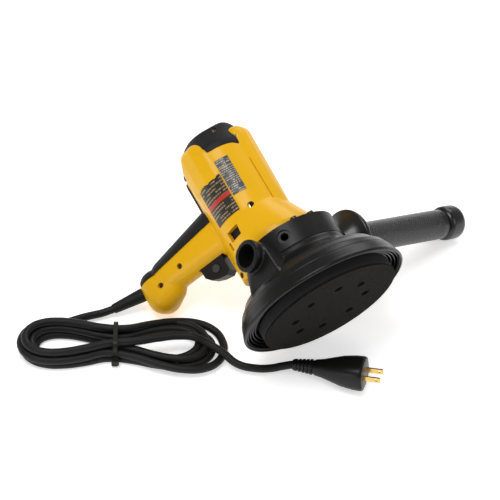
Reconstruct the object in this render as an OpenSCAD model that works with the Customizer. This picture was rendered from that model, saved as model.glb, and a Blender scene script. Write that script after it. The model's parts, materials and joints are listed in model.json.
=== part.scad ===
// Pistol-grip polisher with an orbiting pad, lying at rest on its shroud, grip foot and side handle.
// The tool is drawn in its own axes and then laid down:
//   Z runs up the spindle from the pad face, X points away from the rear grip, Y is the left side.

/* [Pad] */
// Diameter of the pad
pad_d = 152; // [130:1:165]
// Throw of the pad's eccentric
orbit = 2.4; // [1.5:0.1:3]
// Number of dust holes in the pad
dust_holes = 8; // [6:1:10]
// Radius of the circle of dust holes
dust_circle_r = 42; // [34:1:50]

/* [Motor] */
// Outside diameter of the motor barrel
barrel_d = 80; // [74:1:96]
// Height of the tool from the pad face to the end cap
tool_h = 242; // [232:1:290]
// Distance from the spindle back to the motor shaft
motor_back = 22; // [20:0.5:26]

/* [Grip] */
// Reach of the rear grip behind the spindle
grip_reach = 173; // [160:1:208]
// Width of the rear grip
grip_w = 34; // [32:1:41]

/* [Side handle] */
// Distance from the spindle to the middle of the handle's knob
handle_reach = 243; // [200:1:296]
// Diameter of the handle's knob
knob_d = 38; // [34:1:46]
// Angle of the handle from straight ahead
handle_angle = 70; // [60:1:80]

/* [Dust port] */
// Bore of the dust port
port_bore = 24.5; // [20:0.5:28]

/* [Cord] */
// Diameter of the cord
cord_d = 8.6; // [7:0.1:10]

/* [Hidden] */
$fn = 64;
rim_r = pad_d/2 + 17;
rim_z = 9;
collar_r = 52;
collar_z = 62;
collar_top = 87;
floor_z = 100;
cap_z = tool_h - 36;
barrel_r = barrel_d/2;
motor_x = -motor_back;
cavity_r = barrel_r - 4;
shaft_r = 4;
shaft_nose_r = 2.6;
spindle_r = 6;
fit_gap = 0.03;
grip_r = grip_w/2;
foot_x = -(grip_reach - grip_r);
handle_z = 74.3;
flange_at = 83;
knob_round = 8;
knob_half = 13;
thread_r = 4.25;
port_z = 56.4;
port_len = 78;
port_dir = [-0.24, -0.94, 0.22];

// Gear pair: involute teeth on centres motor_back apart
gear_teeth = 43;
pinion_teeth = 12;
gear_module = 2*motor_back/(gear_teeth + pinion_teeth);
pressure_angle = 25;

// Where the tool touches the table: the shroud rim, a ball in the grip foot, and the knob
foot_ball = [foot_x, 3, 122];
knob_dir = [cos(handle_angle), sin(handle_angle), 0];
knob_mid = knob_dir*handle_reach + [0, 0, handle_z];

function unit(v) = v/norm(v);
function across(d, axis) = norm(cross(d, axis));
function rim_reach(d) = rim_z*d[2] + rim_r*across(d, [0, 0, 1]);
function knob_reach(d) = knob_mid*d + (knob_d/2 - knob_round)*across(d, knob_dir)
    + (knob_half - knob_round)*abs(d*knob_dir) + knob_round;

// Downward direction that leaves foot and knob level, turned by angle a about the line between them
span = knob_mid - foot_ball;
span_dir = unit(span);
side_dir = unit(cross(span_dir, [0, 0, 1]));
third_dir = cross(span_dir, side_dir);
lean = (grip_r - knob_d/2 - 1)/norm(span);
function down_at(a) = lean*span_dir + sqrt(1 - lean*lean)*(cos(a)*side_dir + sin(a)*third_dir);
function foot_reach(d) = foot_ball*d + grip_r;
function gap_at(a) = rim_reach(down_at(a)) - foot_reach(down_at(a));
function search(lo, hi, n) = n == 0 ? (lo + hi)/2 :
    gap_at((lo + hi)/2) > 0 ? search((lo + hi)/2, hi, n - 1) : search(lo, (lo + hi)/2, n - 1);
down = down_at(search(100, 180, 30));
up = -down;
table_gap = foot_reach(down);

// Table axes in the tool's axes: right is the table's X and ahead is its Y
heading = [0.72, 0.51, -0.47];
right = unit(heading - (heading*up)*up);
ahead = cross(up, right);
// The origin lies under the middle of the tool's outline
middle = [-32.5, 86.9, 0];
function to_table(p) = [right*p, ahead*p, up*p + table_gap] - middle;
function to_tool(p) = (p[0] + middle[0])*right + (p[1] + middle[1])*ahead
    + (p[2] - table_gap)*up;

// Cord: leaves the guard, lies back to the hank, and runs on from the hank to the plug
guard_root = [foot_x - 2, 0, 137];
guard_tip = [-192, -14, 8.5];
hank_mid = [-188, -67, 0];
hank_len = 208;
hank_waist = 16;
hank_bow = 61;
hank_h = 26;
tie_half = hank_waist + 1.8;
plug_tail = [-2, -96, 11];
plug_dir = unit([1, -0.3, 0.13]);
plug_relief = 17;
plug_flare = 54;
plug_face = 7;
plug_len = plug_relief + plug_flare + plug_face;
lead_route = [guard_tip, [-204, -18, 6.5], [-216, -22, 6.5], [-228, -27, 7]];
tail_route = [[-90, -72, 16], [-76, -82, 14], [-60, -95, 10], [-42, -99, 8], [-26, -99, 8],
    [-13, -97, 9.3], plug_tail];

// Lays a piece drawn in the tool's axes down on the table
module laid() {
    multmatrix([
        [right[0], right[1], right[2], -middle[0]],
        [ahead[0], ahead[1], ahead[2], -middle[1]],
        [up[0], up[1], up[2], table_gap]])
        children();
}

// Turns Z onto a direction and moves to a point
module aim(from, dir) {
    flat = norm([dir[0], dir[1]]);
    translate(from) rotate([0, atan2(flat, dir[2]), atan2(dir[1], dir[0])]) children();
}

module ring(outer, inner, h) {
    difference() {
        cylinder(r = outer, h = h);
        translate([0, 0, -1]) cylinder(r = inner, h = h + 2);
    }
}

// Points of one involute gear
function spread(r, base) = r <= base ? 0 : sqrt(r*r/(base*base) - 1)*180/PI - acos(base/r);
function gear_points(teeth) =
    let (pitch = gear_module*teeth/2, base = pitch*cos(pressure_angle))
    let (tip = pitch + 0.9*gear_module, root = pitch - 1.2*gear_module)
    let (half = 90/teeth - 0.05*180/PI/pitch + spread(pitch, base))
    let (radii = [max(root, base), pitch, (pitch + tip)/2, tip])
    [for (t = [0:teeth - 1]) each concat(
        [root*[cos(360*t/teeth - half), sin(360*t/teeth - half)]],
        [for (r = radii) r*[cos(360*t/teeth - half + spread(r, base)),
            sin(360*t/teeth - half + spread(r, base))]],
        [for (i = [3:-1:0]) radii[i]*[cos(360*t/teeth + half - spread(radii[i], base)),
            sin(360*t/teeth + half - spread(radii[i], base))]],
        [root*[cos(360*t/teeth + half), sin(360*t/teeth + half)]])];

// Round tube along a smooth curve through the given points
function bend(p, i, t) =
    let (a = p[max(i - 1, 0)], b = p[i], c = p[i + 1], d = p[min(i + 2, len(p) - 1)])
    0.5*(2*b + t*(c - a) + t*t*(2*a - 5*b + 4*c - d) + t*t*t*(3*b - a - 3*c + d));
function curve(p, steps) = concat(
    [for (i = [0:len(p) - 2]) for (s = [0:steps - 1]) bend(p, i, s/steps)], [p[len(p) - 1]]);
module tube(route, r, steps = 3, sides = 12) {
    line = curve(route, steps);
    n = len(line);
    points = [for (i = [0:n - 1])
        let (t = unit(line[min(i + 1, n - 1)] - line[max(i - 1, 0)]))
        let (u = unit(cross(t, [0, 0, 1])), v = cross(u, t))
        for (k = [0:sides - 1]) line[i] + r*(cos(360*k/sides)*u + sin(360*k/sides)*v)];
    walls = [for (i = [0:n - 2]) for (k = [0:sides - 1])
        let (m = (k + 1) % sides)
        [i*sides + k, i*sides + m, (i + 1)*sides + m, (i + 1)*sides + k]];
    polyhedron(points, concat(walls, [[for (k = [sides - 1:-1:0]) k],
        [for (k = [0:sides - 1]) (n - 1)*sides + k]]), convexity = 6);
}

// Barrel round the motor with its front and rear spines
module barrel(grow = 0, from = floor_z, to = cap_z) {
    hull() {
        for (s = [[motor_x, barrel_r], [motor_x + barrel_r - 11, 15], [motor_x - barrel_r + 10, 15]])
            translate([s[0], 0, from]) cylinder(r = s[1] + grow, h = to - from, $fn = 48);
    }
}

module ball_pair(a, b, r) {
    hull() {
        translate(a) sphere(r = r, $fn = 32);
        translate(b) sphere(r = r, $fn = 32);
    }
}

// Rear grip as far as its foot
module grip_bar(r) {
    hull() {
        for (p = [[-64, 0, 153], [-64, 0, 133], [foot_x + 16, 0, 141], [foot_x + 16, 0, 135]])
            translate(p) sphere(r = r, $fn = 32);
    }
}

// Foot at the end of the grip, with the ball that rests on the table
module grip_foot() {
    hull() {
        for (p = [[foot_x - 1, -2, 139], [foot_x, -3, 122], foot_ball, [foot_x + 12, 0, 126]])
            translate(p) sphere(r = grip_r, $fn = 32);
    }
}

module housing_solid() {
    barrel();
    // Bell that spreads down to the gear case
    hull() {
        translate([-10, 0, collar_top]) cylinder(r = 46, h = 8, $fn = 48);
        translate([motor_x, 0, 130]) cylinder(r = barrel_r, h = 2, $fn = 48);
    }
    grip_bar(grip_r);
    grip_foot();
    // Heel behind the gear case
    hull() {
        translate([-44, 0, 74]) cylinder(r = 22, h = 20, $fn = 32);
        translate([-46, 0, 118]) cylinder(r = 20, h = 10, $fn = 32);
    }
}

// Everything that is cut out of both housing halves
module housing_hollow() {
    translate([motor_x, 0, floor_z]) cylinder(r = cavity_r, h = tool_h);
    translate([motor_x, 0, floor_z - 8]) cylinder(r = 11, h = 9);
    translate([motor_x, 0, 0]) cylinder(r = 6, h = tool_h);
    translate([0, 0, 0]) cylinder(r = collar_r + 0.02, h = collar_top);
    grip_space();
    aim(guard_root, guard_axis) cylinder(r = 7.5, h = 40);
    // Slot for the trigger
    translate([-102, -8.6, 90]) cube([34, 17.2, 36]);
    // Counterbores and pilot holes of the screws
    for (p = screw_spots) translate(p) rotate([90, 0, 0]) {
        translate([0, 0, -p[1] - 12]) cylinder(r = 2, h = 24);
        translate([0, 0, 12]) cylinder(r = 3.2, h = 60);
    }
    // Lock button's hole
    translate([-88, 0, 138]) rotate([-90, 0, 0]) cylinder(r = 5.4, h = 40);
}

module grip_space() {
    hull() {
        for (p = [[-70, 0, 152], [-70, 0, 136], [foot_x + 22, 0, 141], [foot_x + 22, 0, 137]])
            translate(p) sphere(r = grip_r - 3, $fn = 24);
    }
}

guard_axis = unit(to_tool(guard_tip) - guard_root);
guard_len = norm(to_tool(guard_tip) - guard_root);
screw_spots = [[foot_x + 11, 0, 130], [foot_x + 41, 0, 134], [-58, 0, 82]];

module housing_half(side) {
    color([0.93, 0.69, 0.07]) laid() intersection() {
        difference() {
            housing_solid();
            housing_hollow();
        }
        translate([-250, side > 0 ? 0 : -100, 50]) cube([400, 100, 250]);
    }
}
module housing_right() { housing_half(-1); }
module housing_left() { housing_half(1); }

module end_cap() {
    color([0.08, 0.08, 0.08]) laid() difference() {
        hull() {
            barrel(grow = 0, from = cap_z, to = cap_z + 8);
            for (x = [motor_x - 20, motor_x + 18])
                translate([x, 0, tool_h - 10]) cylinder(r = 19, h = 8, $fn = 32);
            translate([motor_x, 0, tool_h - 3]) cylinder(r = 24, h = 3, $fn = 32);
        }
        translate([motor_x, 0, cap_z - 1]) cylinder(r = 9.5, h = 13);
        translate([motor_x, 0, cap_z]) cylinder(r = 6, h = 17);
        for (a = [45:90:315]) translate([motor_x + 27*cos(a), 27*sin(a), cap_z - 1])
            cylinder(r = 2, h = 21);
        for (a = [45:90:315]) translate([motor_x + 27*cos(a), 27*sin(a), cap_z + 20])
            cylinder(r = 4, h = 40);
    }
}

module end_cap_screws() {
    color("silver") laid() for (a = [45:90:315])
        translate([motor_x + 27*cos(a), 27*sin(a), cap_z]) {
            cylinder(r = 2, h = 20);
            translate([0, 0, 20]) cylinder(r = 3.6, h = 3);
        }
}

// Soft sleeve over the back of the grip
module grip_sleeve() {
    color([0.08, 0.08, 0.08]) laid() difference() {
        intersection() {
            grip_bar(grip_r + 1.6);
            translate([foot_x + 2, -40, 149]) cube([-foot_x - 58, 80, 60]);
        }
        grip_bar(grip_r);
        grip_foot();
        barrel();
    }
}

// Soft strip up the barrel's rear spine
module rear_strip() {
    color([0.08, 0.08, 0.08]) laid() difference() {
        intersection() {
            barrel(grow = 1.4, from = 176, to = cap_z);
            translate([-100, -9, 150]) cube([50, 18, 100]);
        }
        barrel();
        grip_bar(grip_r + 1.6);
    }
}

module housing_screws() {
    color("silver") laid() for (p = screw_spots) translate(p) rotate([90, 0, 0]) {
        translate([0, 0, -12]) cylinder(r = 2, h = 24);
        translate([0, 0, 12]) cylinder(r = 3, h = 2.2);
    }
}

module gear_case() {
    color([0.1, 0.1, 0.1]) laid() difference() {
        union() {
            translate([0, 0, collar_z]) cylinder(r = collar_r, h = collar_top - collar_z);
            translate([0, 0, collar_z - 12]) cylinder(r = 20, h = 13);
        }
        translate([-8, 0, collar_z + 4]) cylinder(r = 30, h = 13);
        translate([0, 0, collar_top - 8]) cylinder(r = 11, h = 9);
        translate([0, 0, collar_z]) cylinder(r = 8, h = 20);
        translate([0, 0, collar_z - 13]) cylinder(r = 14, h = 12);
        translate([0, 0, collar_z - 2]) cylinder(r = 8, h = 4);
        translate([motor_x, 0, collar_z + 4]) cylinder(r = 6.5, h = 40);
        for (s = [-1, 1]) rotate([0, 0, s*handle_angle]) translate([0, 0, handle_z])
            rotate([0, 90, 0]) {
                translate([0, 0, collar_r - 20]) cylinder(r = thread_r, h = 40);
                translate([0, 0, collar_r - 2]) cylinder(r = 7.4, h = 10);
            }
        for (a = case_screws) rotate([0, 0, a]) translate([46.5, 0, collar_top - 14])
            cylinder(r = 2, h = 20);
    }
}
case_screws = [-48, -22, 22, 48];

module gear_case_screws() {
    color("silver") laid() for (a = case_screws) rotate([0, 0, a])
        translate([46.5, 0, collar_top - 14]) {
            cylinder(r = 2, h = 14);
            translate([0, 0, 14]) cylinder(r = 3.6, h = 3.2);
        }
}

// Outline of the shroud's wall from the collar down to its rim
skirt = [[collar_r, collar_z], [collar_r + 1, collar_z - 8], [60, 49], [rim_r - 16, 38],
    [rim_r - 7, 30], [rim_r - 3, 22], [rim_r, rim_z]];
module shroud_bowl(thin = 0) {
    rotate_extrude($fn = 96) polygon(concat(
        [[0, rim_z - thin]],
        [[0, collar_z - thin]],
        [for (p = skirt) [p[0] - thin, p[1] - (p[1] == rim_z ? thin : thin*0.9)]]));
}

module shroud() {
    u = unit(port_dir);
    color([0.09, 0.09, 0.09]) laid() {
        difference() {
            union() {
                shroud_bowl();
                aim([0, 0, port_z] + 52*u, u) cylinder(r = port_bore/2 + 4.2, h = port_len - 52);
                hull() {
                    aim([0, 0, port_z] + 52*u, u) cylinder(r = port_bore/2 + 4, h = 14, $fn = 32);
                    rotate([0, 0, atan2(u[1], u[0]) + 4]) translate([52, -22, 30])
                        cube([rim_r - 66, 44, 8]);
                }
            }
            shroud_bowl(2.6);
            translate([0, 0, collar_z]) cylinder(r = collar_r + 0.1, h = 60);
            translate([0, 0, collar_z - 20]) cylinder(r = 20.1, h = 30);
            aim([0, 0, port_z] + 58*u, u) cylinder(r = port_bore/2, h = port_len);
            rotate([0, 0, atan2(u[1], u[0])]) translate([61, 0, 34]) cylinder(r = 7, h = 32);
        }
        // Rings inside the mouth that keep the dust in
        difference() {
            for (k = [0:3]) translate([0, 0, 22 - 3.2*k]) ring(rim_r - 1.6*(3 - k) + 1, rim_r - 8, 1.4);
            difference() {
                translate([0, 0, 5]) cylinder(r = rim_r + 20, h = 30);
                shroud_bowl(1.2);
            }
        }
    }
}

module stator() {
    color([0.5, 0.5, 0.52]) laid() translate([motor_x, 0, 122]) ring(cavity_r, 21.3, 60);
}

module brush_holders() {
    color([0.8, 0.65, 0.3]) laid() for (s = [-1, 1]) translate([motor_x - 5.5, 0, 190]) difference() {
        translate([0, s > 0 ? 14 : -cavity_r + 0.5, 0]) cube([11, cavity_r - 14.5, 12]);
        translate([2.5, s > 0 ? 10 : -cavity_r + 4, 3]) cube([6, cavity_r - 14, 6]);
    }
}

module carbon_brushes() {
    color([0.15, 0.15, 0.15]) laid() for (s = [-1, 1])
        translate([motor_x - 3, s > 0 ? 11.3 : -24, 193]) cube([6, 12.7, 6]);
}

module brush_springs() {
    color("silver") laid() for (s = [-1, 1]) translate([motor_x, s*24, 196]) rotate([-s*90, 0, 0])
        ring(2.6, 1.6, cavity_r - 28);
}

module motor_bearings() {
    color("silver") laid() for (z = [floor_z - 8, cap_z + 1])
        translate([motor_x, 0, z]) ring(z < cap_z ? 11 : 9.5, shaft_r + fit_gap, 8);
}

module spindle_bearings() {
    color("silver") laid() {
        translate([0, 0, collar_top - 8]) ring(11, spindle_r + fit_gap, 7.5);
        translate([0, 0, collar_z - 11]) ring(14, spindle_r + fit_gap, 9);
    }
}

module switch_body() {
    color([0.15, 0.15, 0.16]) laid() translate([-104, -9, 127]) cube([30, 18, 22]);
}

// Side handle: guard flange, grip and knob turned in one piece about the handle's axis
handle_profile = concat(
    [[0, 66], [14, 66], [20, 72], [33, 80], [33, 85], [20, 89], [16.5, 94], [16.5, handle_reach - 20],
     [16, handle_reach - 15]],
    [for (a = [-90:15:0]) [knob_d/2 - knob_round + knob_round*cos(a),
        handle_reach - knob_half + knob_round + knob_round*sin(a)]],
    [for (a = [0:15:90]) [knob_d/2 - knob_round + knob_round*cos(a),
        handle_reach + knob_half - knob_round + knob_round*sin(a)]],
    [[0, handle_reach + knob_half]]);
module along_handle() {
    laid() translate([0, 0, handle_z]) rotate([0, 0, handle_angle]) rotate([0, 90, 0]) children();
}
module handle_grip() {
    color([0.1, 0.1, 0.1]) along_handle() difference() {
        rotate_extrude() polygon(handle_profile);
        translate([0, 0, 60]) cylinder(r = 5, h = 46);
    }
}
module handle_stud() {
    color("silver") along_handle() {
        translate([0, 0, collar_r - 18]) cylinder(r = thread_r, h = 20);
        translate([0, 0, collar_r - 2]) ring(7.2, 2, 2);
        translate([0, 0, collar_r]) cylinder(r = 9, h = 14);
        translate([0, 0, 66]) cylinder(r = 5, h = 38);
    }
}

// Rubber guard that the cord leaves the grip through
module cord_guard() {
    color([0.1, 0.1, 0.1]) laid() aim(guard_root, guard_axis) {
        cylinder(r = 7.5, h = 20);
        translate([0, 0, 20]) cylinder(r1 = 7.5, r2 = cord_d/2 + 1, h = guard_len - 20);
    }
}

module plate(x, z, w, h, grow) {
    color([0.15, 0.13, 0.1]) laid() difference() {
        intersection() {
            barrel(grow = grow);
            translate([x, -60, z]) cube([w, 60, h]);
        }
        barrel();
    }
}
module rating_plate() { plate(-46, 132.5, 33, 46, 0.5); }
module guide_plate() { plate(-11.5, 149, 14, 43, 0.5); }

module motor_shaft() {
    color("silver") laid() translate([motor_x, 0, collar_z + 4.5]) {
        cylinder(r = shaft_nose_r, h = 13);
        translate([0, 0, 13]) cylinder(r = shaft_r, h = cap_z + 1 - collar_z - 4.5);
    }
}
module armature_core() {
    color([0.55, 0.4, 0.25]) laid() translate([motor_x, 0, 124]) ring(20.4, shaft_r, 56);
}
module commutator() {
    color([0.75, 0.45, 0.25]) laid() translate([motor_x, 0, 188]) ring(11, shaft_r, 16);
}
module fan() {
    color([0.2, 0.2, 0.2]) laid() translate([motor_x, 0, floor_z + 2]) {
        ring(8, shaft_r, 12);
        ring(cavity_r - 2, 8, 2);
        for (k = [0:8]) rotate([0, 0, 40*k]) translate([7.6, -1, 1]) cube([cavity_r - 10.5, 2, 10]);
    }
}
module pinion() {
    color("silver") laid() translate([motor_x, 0, collar_z + 5]) difference() {
        linear_extrude(11) polygon(gear_points(pinion_teeth));
        translate([0, 0, -1]) cylinder(r = shaft_nose_r, h = 13);
    }
}

module spindle_shaft() {
    color("silver") laid() translate([0, 0, 44]) cylinder(r = spindle_r, h = collar_top - 44.6);
}
module drive_gear() {
    color([0.6, 0.6, 0.6]) laid() translate([0, 0, collar_z + 5.5]) difference() {
        rotate([0, 0, 180/gear_teeth*(1 + gear_teeth % 2)]) linear_extrude(10)
            polygon(gear_points(gear_teeth));
        translate([0, 0, -1]) cylinder(r = spindle_r, h = 13);
    }
}
module counterweight() {
    color([0.5, 0.5, 0.5]) laid() {
        translate([orbit, 0, 21]) cylinder(r = 5, h = 13);
        difference() {
            union() {
                translate([0, 0, 34]) cylinder(r = 15, h = 14);
                intersection() {
                    translate([0, 0, 36]) cylinder(r = 34, h = 10);
                    translate([-40, -40, 30]) cube([38, 80, 30]);
                }
            }
            translate([0, 0, 44]) cylinder(r = spindle_r, h = 20);
        }
    }
}

module pad_bearing() {
    color("silver") laid() translate([orbit, 0, 23]) ring(13, 5 + fit_gap, 8);
}
module pad_hub() {
    color([0.35, 0.35, 0.37]) laid() translate([orbit, 0, 19]) difference() {
        cylinder(r = 24, h = 12);
        translate([0, 0, 4]) cylinder(r = 13, h = 20);
        translate([0, 0, -1]) cylinder(r = 4, h = 3);
        translate([0, 0, 1]) cylinder(r = 7, h = 4);
    }
}
module dust_bores(r, h) {
    for (k = [0:dust_holes - 1]) rotate([0, 0, 360*k/dust_holes])
        translate([dust_circle_r, 0, -1]) cylinder(r = r, h = h + 2);
}
module pad_layer(r, from, h, centre) {
    translate([orbit, 0, from]) difference() {
        cylinder(r = r, h = h);
        dust_bores(4.6, h);
        translate([0, 0, -1]) cylinder(r = centre, h = h + 2);
    }
}
module pad_plate() { color([0.2, 0.2, 0.2]) laid() pad_layer(pad_d/2 - 3, 15, 4, 4); }
module pad_foam() { color([0.12, 0.12, 0.12]) laid() pad_layer(pad_d/2, 2, 13, 10); }
module hook_face() { color([0.08, 0.08, 0.08]) laid() pad_layer(pad_d/2, 0, 2, 10); }
module pad_bolt() {
    color("silver") laid() translate([orbit, 0, 11]) {
        cylinder(r = 8, h = 4);
        translate([0, 0, 4]) cylinder(r = 4, h = 6);
    }
}

module trigger() {
    color([0.1, 0.1, 0.1]) laid() difference() {
        translate([0, 8, 0]) rotate([90, 0, 0]) linear_extrude(16)
            polygon([[-100, 120], [-100, 108], [-95, 102], [-86, 98], [-76, 96], [-70.5, 99],
                [-70.5, 120]]);
        translate([dial_at[0], -9, dial_at[1]]) rotate([-90, 0, 0]) cylinder(r = 4.7, h = 6.2);
    }
}
dial_at = [-83, 109];
module speed_dial() {
    color([0.45, 0.45, 0.45]) laid() translate([dial_at[0], -9.5, dial_at[1]])
        rotate([-90, 0, 0]) cylinder(r = 4.4, h = 6.4);
}
module lock_button() {
    color([0.1, 0.1, 0.1]) laid() translate([-88, 12.2, 138]) rotate([-90, 0, 0])
        cylinder(r = 5, h = grip_r - 9.2);
}

module cord_lead() { color([0.08, 0.08, 0.08]) tube(lead_route, cord_d/2); }
module cord_tail() { color([0.08, 0.08, 0.08]) tube(tail_route, cord_d/2); }
module cord_hank() {
    color([0.08, 0.08, 0.08]) translate(hank_mid) difference() {
        linear_extrude(hank_h) polygon([for (a = [0:10:350])
            [hank_len/2*cos(a), (hank_waist + hank_bow*abs(cos(a)))*sin(a)]]);
        translate([-3, -60, -1]) cube([6, 120, 2.2]);
    }
}
// Tie round the hank's waist, with its ratchet head in front
module cable_tie() {
    color([0.05, 0.05, 0.05]) translate(hank_mid) {
        for (z = [0.1, hank_h + 0.1]) translate([-2.7, -tie_half - 1.2, z])
            cube([5.4, 2*tie_half + 2.4, 1.1]);
        for (y = [-tie_half - 1.2, tie_half]) translate([-2.7, y, 0.1])
            cube([5.4, 1.2, hank_h + 1.1]);
        translate([-4.5, -tie_half - 7, 3]) cube([9, 5.8, 9]);
    }
}
module plug_body() {
    color([0.08, 0.08, 0.08]) aim(plug_tail, plug_dir) {
        cylinder(r1 = cord_d/2 + 1.5, r2 = cord_d/2 + 2.5, h = plug_relief);
        translate([0, 0, plug_relief]) cylinder(r1 = 7.5, r2 = 17, h = plug_flare);
        translate([0, 0, plug_relief + plug_flare]) cylinder(r = 17, h = plug_face);
    }
}
module plug_blades() {
    color([0.8, 0.62, 0.25]) aim(plug_tail, plug_dir) for (s = [-1, 1]) difference() {
        translate([-3.2, s*6.4 - 0.75, plug_len]) cube([6.4, 1.5, 17.5]);
        translate([0, s*6.4 + 5, plug_len + 13]) rotate([90, 0, 0]) cylinder(r = 1.6, h = 10);
    }
}

housing_right();
housing_left();
end_cap();
end_cap_screws();
grip_sleeve();
rear_strip();
housing_screws();
gear_case();
gear_case_screws();
shroud();
stator();
brush_holders();
carbon_brushes();
brush_springs();
motor_bearings();
spindle_bearings();
switch_body();
handle_grip();
handle_stud();
cord_guard();
rating_plate();
guide_plate();
motor_shaft();
armature_core();
commutator();
fan();
pinion();
spindle_shaft();
drive_gear();
counterweight();
pad_bearing();
pad_hub();
pad_plate();
pad_foam();
hook_face();
pad_bolt();
trigger();
speed_dial();
lock_button();
cord_lead();
cord_hank();
cord_tail();
cable_tie();
plug_body();
plug_blades();
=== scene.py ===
"""Looks of a pistol-grip polisher with an orbiting pad, on a table with its cord in a hank."""

import json
import logging
import math
import random
from dataclasses import dataclass, field
from enum import Enum
from typing import Sequence

import bmesh
import bpy
from mathutils import Matrix, Vector

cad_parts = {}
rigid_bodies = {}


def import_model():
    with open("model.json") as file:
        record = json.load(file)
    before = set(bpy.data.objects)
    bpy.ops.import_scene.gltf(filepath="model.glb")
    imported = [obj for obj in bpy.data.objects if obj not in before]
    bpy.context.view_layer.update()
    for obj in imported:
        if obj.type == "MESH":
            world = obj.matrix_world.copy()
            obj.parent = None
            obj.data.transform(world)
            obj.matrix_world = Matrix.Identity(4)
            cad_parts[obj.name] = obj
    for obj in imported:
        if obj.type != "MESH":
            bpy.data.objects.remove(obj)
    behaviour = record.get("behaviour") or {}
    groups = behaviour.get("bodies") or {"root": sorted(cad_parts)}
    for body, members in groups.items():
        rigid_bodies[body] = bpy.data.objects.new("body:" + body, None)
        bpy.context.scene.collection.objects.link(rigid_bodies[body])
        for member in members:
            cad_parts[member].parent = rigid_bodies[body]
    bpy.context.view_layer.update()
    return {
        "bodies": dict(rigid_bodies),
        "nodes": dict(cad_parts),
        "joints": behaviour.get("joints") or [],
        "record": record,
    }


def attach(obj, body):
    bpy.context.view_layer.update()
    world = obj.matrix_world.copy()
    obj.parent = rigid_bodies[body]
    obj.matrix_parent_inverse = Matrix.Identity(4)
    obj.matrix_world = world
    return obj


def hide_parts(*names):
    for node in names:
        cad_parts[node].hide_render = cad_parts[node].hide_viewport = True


LOG = logging.getLogger("polisher")
MM = 0.001
LENS_MM = 172.8
SENSOR_MM = 36.0

Point = Sequence[float]


class Side(Enum):
    """The two sides of the tool, as signs on its Y axis."""

    RIGHT = -1
    LEFT = 1


def ease(x: float, low: float, high: float) -> float:
    """Rises smoothly from 0 at low to 1 at high."""
    t = min(max((x - low) / (high - low), 0.0), 1.0)
    return t * t * (3 - 2 * t)


# ---------------------------------------------------------------- shader maths

class Val:
    """A shader socket that can be added, multiplied and compared like a number."""

    def __init__(self, graph: "Graph", socket: bpy.types.NodeSocket) -> None:
        """Keeps the graph and the socket."""
        self.graph = graph
        self.socket = socket

    def _math(self, op: str, a: object, b: object = None) -> "Val":
        """Adds one Math node and returns its output."""
        values = {0: a} if b is None else {0: a, 1: b}
        return self.graph.node("ShaderNodeMath", {"operation": op}, values)

    def __add__(self, other: object) -> "Val":
        """Sum."""
        return self._math("ADD", self, other)

    __radd__ = __add__

    def __sub__(self, other: object) -> "Val":
        """Difference."""
        return self._math("SUBTRACT", self, other)

    def __rsub__(self, other: object) -> "Val":
        """Reflected difference."""
        return self._math("SUBTRACT", other, self)

    def __mul__(self, other: object) -> "Val":
        """Product."""
        return self._math("MULTIPLY", self, other)

    __rmul__ = __mul__

    def __truediv__(self, other: object) -> "Val":
        """Quotient."""
        return self._math("DIVIDE", self, other)

    def __gt__(self, other: object) -> "Val":
        """One where this is the greater."""
        return self._math("GREATER_THAN", self, other)

    def __lt__(self, other: object) -> "Val":
        """One where this is the smaller."""
        return self._math("LESS_THAN", self, other)

    def sin(self) -> "Val":
        """Sine."""
        return self._math("SINE", self)

    def fract(self) -> "Val":
        """Fraction."""
        return self._math("FRACT", self)

    def abs(self) -> "Val":
        """Size without sign."""
        return self._math("ABSOLUTE", self)


class Graph:
    """The node tree of one material."""

    def __init__(self, name: str) -> None:
        """Makes a material with an empty tree."""
        self.material = bpy.data.materials.new(name)
        self.material.use_nodes = True
        self.tree = self.material.node_tree
        self.tree.nodes.clear()

    def node(self, kind: str, settings: dict | None = None, values: dict | None = None,
             out: int | str = 0) -> Val:
        """Adds a node.

        Args:
            kind: The node's type name.
            settings: Attributes to set on it.
            values: Socket name or index to a number, tuple or Val.
            out: Which output to return.

        Returns:
            The chosen output.
        """
        node = self.tree.nodes.new(kind)
        for key, value in (settings or {}).items():
            setattr(node, key, value)
        for key, value in (values or {}).items():
            if isinstance(value, Val):
                self.tree.links.new(value.socket, node.inputs[key])
            else:
                node.inputs[key].default_value = value
        return Val(self, node.outputs[out])

    def place(self) -> Val:
        """Object coordinates in metres."""
        return self.node("ShaderNodeTexCoord", out="Object")

    def noise(self, scale: float, detail: float = 3.0, where: Val | None = None) -> Val:
        """Noise with a given scale per metre."""
        return self.node("ShaderNodeTexNoise", values={
            "Vector": where or self.place(), "Scale": scale, "Detail": detail})

    def along(self, axis: Point) -> Val:
        """Distance along a direction, in metres."""
        return self.node("ShaderNodeVectorMath", {"operation": "DOT_PRODUCT"},
                         {0: self.place(), 1: tuple(axis)}, out="Value")

    def mix(self, factor: object, a: object, b: object) -> Val:
        """Blends two colours."""
        return self.node("ShaderNodeMix", {"data_type": "RGBA"},
                         {0: factor, 6: a, 7: b}, out=2)

    def bump(self, height: Val, distance: float, strength: float = 1.0) -> Val:
        """Normal from a height."""
        return self.node("ShaderNodeBump", values={
            "Height": height, "Distance": distance, "Strength": strength})

    def finish(self, values: dict) -> bpy.types.Material:
        """Adds the surface shader and the output.

        Args:
            values: Sockets of the Principled shader.

        Returns:
            The material.
        """
        shader = self.node("ShaderNodeBsdfPrincipled", values=values)
        self.node_output(shader)
        return self.material

    def node_output(self, shader: Val) -> None:
        """Links a shader to the material output."""
        node = self.tree.nodes.new("ShaderNodeOutputMaterial")
        self.tree.links.new(shader.socket, node.inputs["Surface"])


def rgba(r: float, g: float, b: float) -> tuple[float, float, float, float]:
    """An opaque colour."""
    return (r, g, b, 1.0)


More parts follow.
